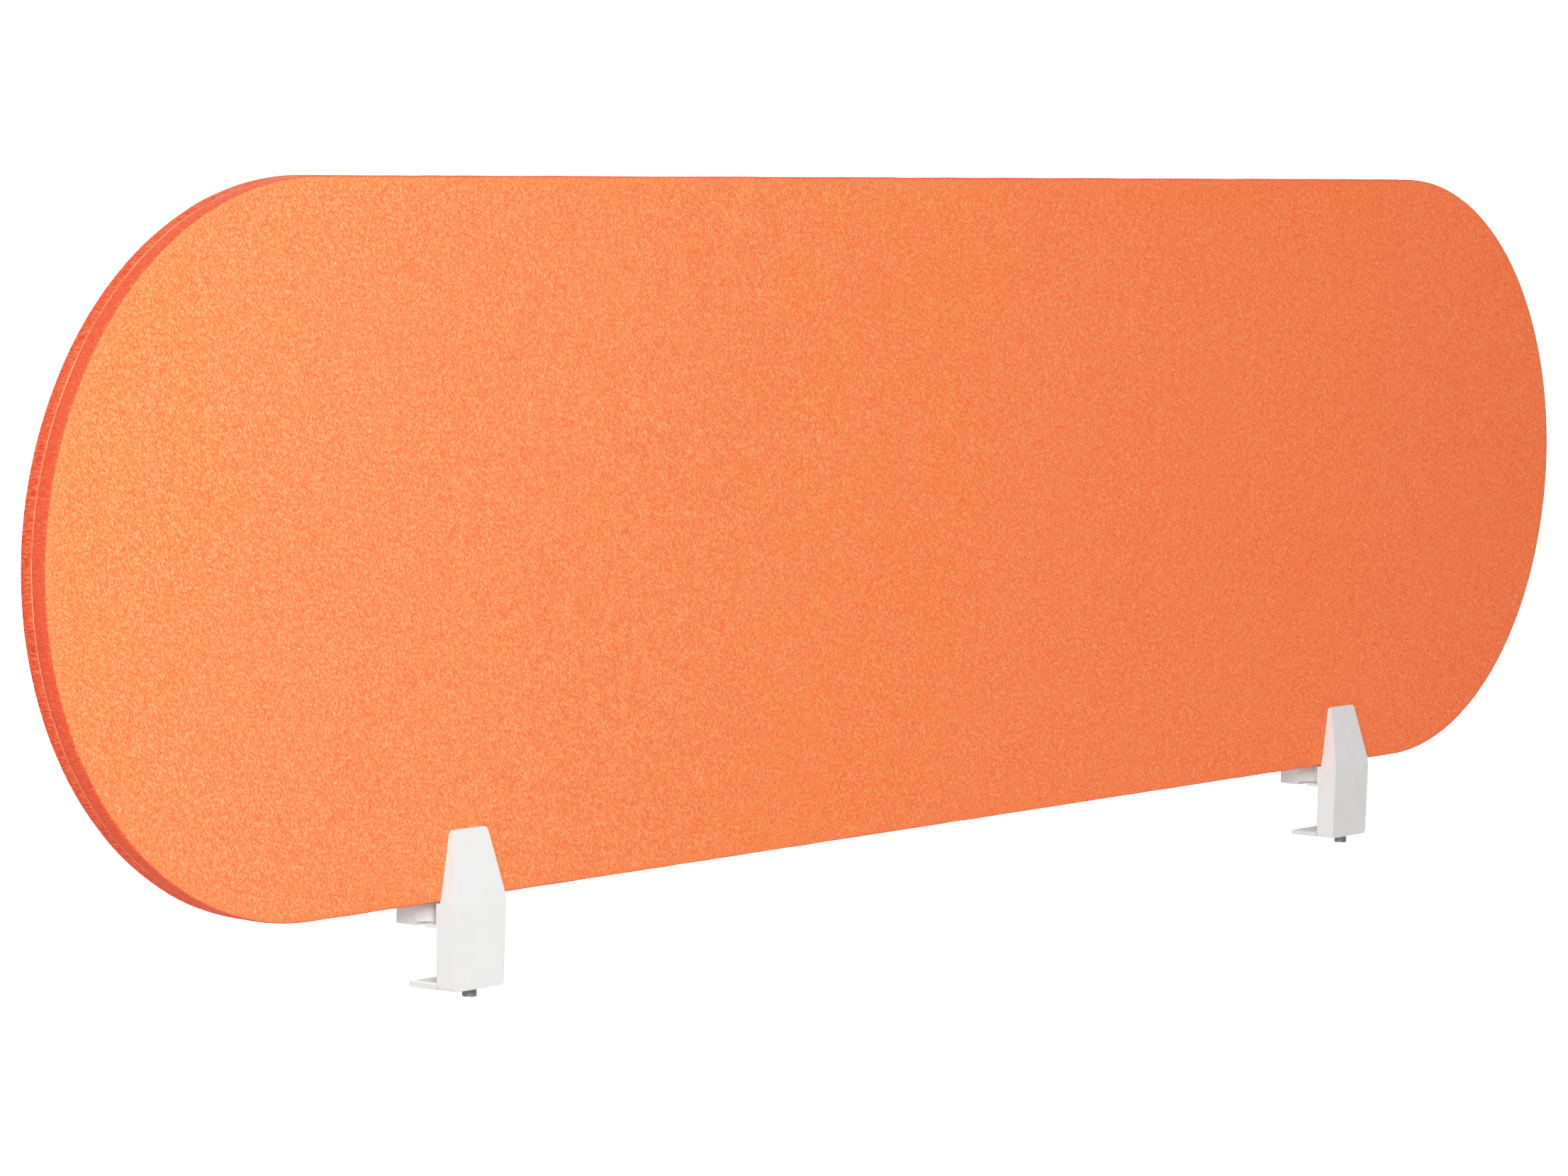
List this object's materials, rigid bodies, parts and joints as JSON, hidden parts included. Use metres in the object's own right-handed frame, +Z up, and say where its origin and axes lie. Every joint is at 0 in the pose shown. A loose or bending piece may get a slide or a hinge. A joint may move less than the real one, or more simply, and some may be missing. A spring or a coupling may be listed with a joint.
{
  "type": "desk privacy panel",
  "caption": "Fabric-covered desk screen with semicircular ends, held to the desk edge by white screw clamps whose lower jaws slide up under the desk top.",
  "frame": {"origin": "on the desk's top front edge, below the middle of the panel's length", "axes": "+X right along the panel seen from its outer side, +Y over the desk, +Z up"},
  "size_m": [1.5, 0.0445, 0.4553],
  "materials": {
    "board": "raw fibreboard",
    "foam": "soft wadding",
    "front_cloth": "orange crepe-weave upholstery cloth",
    "rear_cloth": "orange crepe-weave upholstery cloth",
    "welt_cloth": "folded bias strip of the same cloth",
    "clamp_white": "fine-textured white moulding",
    "jaw_white": "white powder coat",
    "rubber": "matt pale grey rubber",
    "zinc_steel": "zinc plated",
    "dark_steel": "blackened steel",
    "insert_brass": "knurled brass"
  },
  "bodies": {
    "panel": {"core_board": "board", "front_foam": "foam", "rear_foam": "foam", "front_fabric": "front_cloth", "rear_fabric": "rear_cloth", "seam_welt": "welt_cloth", "left_front_body": "clamp_white", "left_rear_jaw": "clamp_white", "left_front_grip_pad": "rubber", "left_rear_grip_pad": "rubber", "left_upper_jaw_pad": "rubber", "left_pinch_bolts": "zinc_steel", "left_pinch_washers": "zinc_steel", "left_threaded_inserts": "insert_brass", "left_captive_nut": "zinc_steel", "right_front_body": "clamp_white", "right_rear_jaw": "clamp_white", "right_front_grip_pad": "rubber", "right_rear_grip_pad": "rubber", "right_upper_jaw_pad": "rubber", "right_pinch_bolts": "zinc_steel", "right_pinch_washers": "zinc_steel", "right_threaded_inserts": "insert_brass", "right_captive_nut": "zinc_steel"},
    "left_jaw": {"left_lower_jaw": "jaw_white", "left_lower_jaw_pad": "rubber", "left_screw_washer": "zinc_steel"},
    "left_screw": {"left_clamp_screw": "dark_steel", "left_retaining_ring": "dark_steel"},
    "right_jaw": {"right_lower_jaw": "jaw_white", "right_lower_jaw_pad": "rubber", "right_screw_washer": "zinc_steel"},
    "right_screw": {"right_clamp_screw": "dark_steel", "right_retaining_ring": "dark_steel"}
  },
  "joints": [
    {"name": "left_jaw_slide", "type": "slide", "parent": "panel", "child": "left_jaw", "axis": [0, 0, 1], "range_m": [0, 0.016]},
    {"name": "left_screw_turn", "type": "hinge", "parent": "left_jaw", "child": "left_screw", "pos_m": [-0.427, -0.006, -0.0343], "axis": [0, 0, 1], "range_deg": [0, 7201]},
    {"name": "right_jaw_slide", "type": "slide", "parent": "panel", "child": "right_jaw", "axis": [0, 0, 1], "range_m": [0, 0.016]},
    {"name": "right_screw_turn", "type": "hinge", "parent": "right_jaw", "child": "right_screw", "pos_m": [0.477, -0.006, -0.0343], "axis": [0, 0, 1], "range_deg": [0, 7201]}
  ],
  "couplings": [
    {"joint": "left_screw_turn", "follows": "left_jaw_slide", "rad_per_m": 7854},
    {"joint": "right_screw_turn", "follows": "right_jaw_slide", "rad_per_m": 7854}
  ]
}
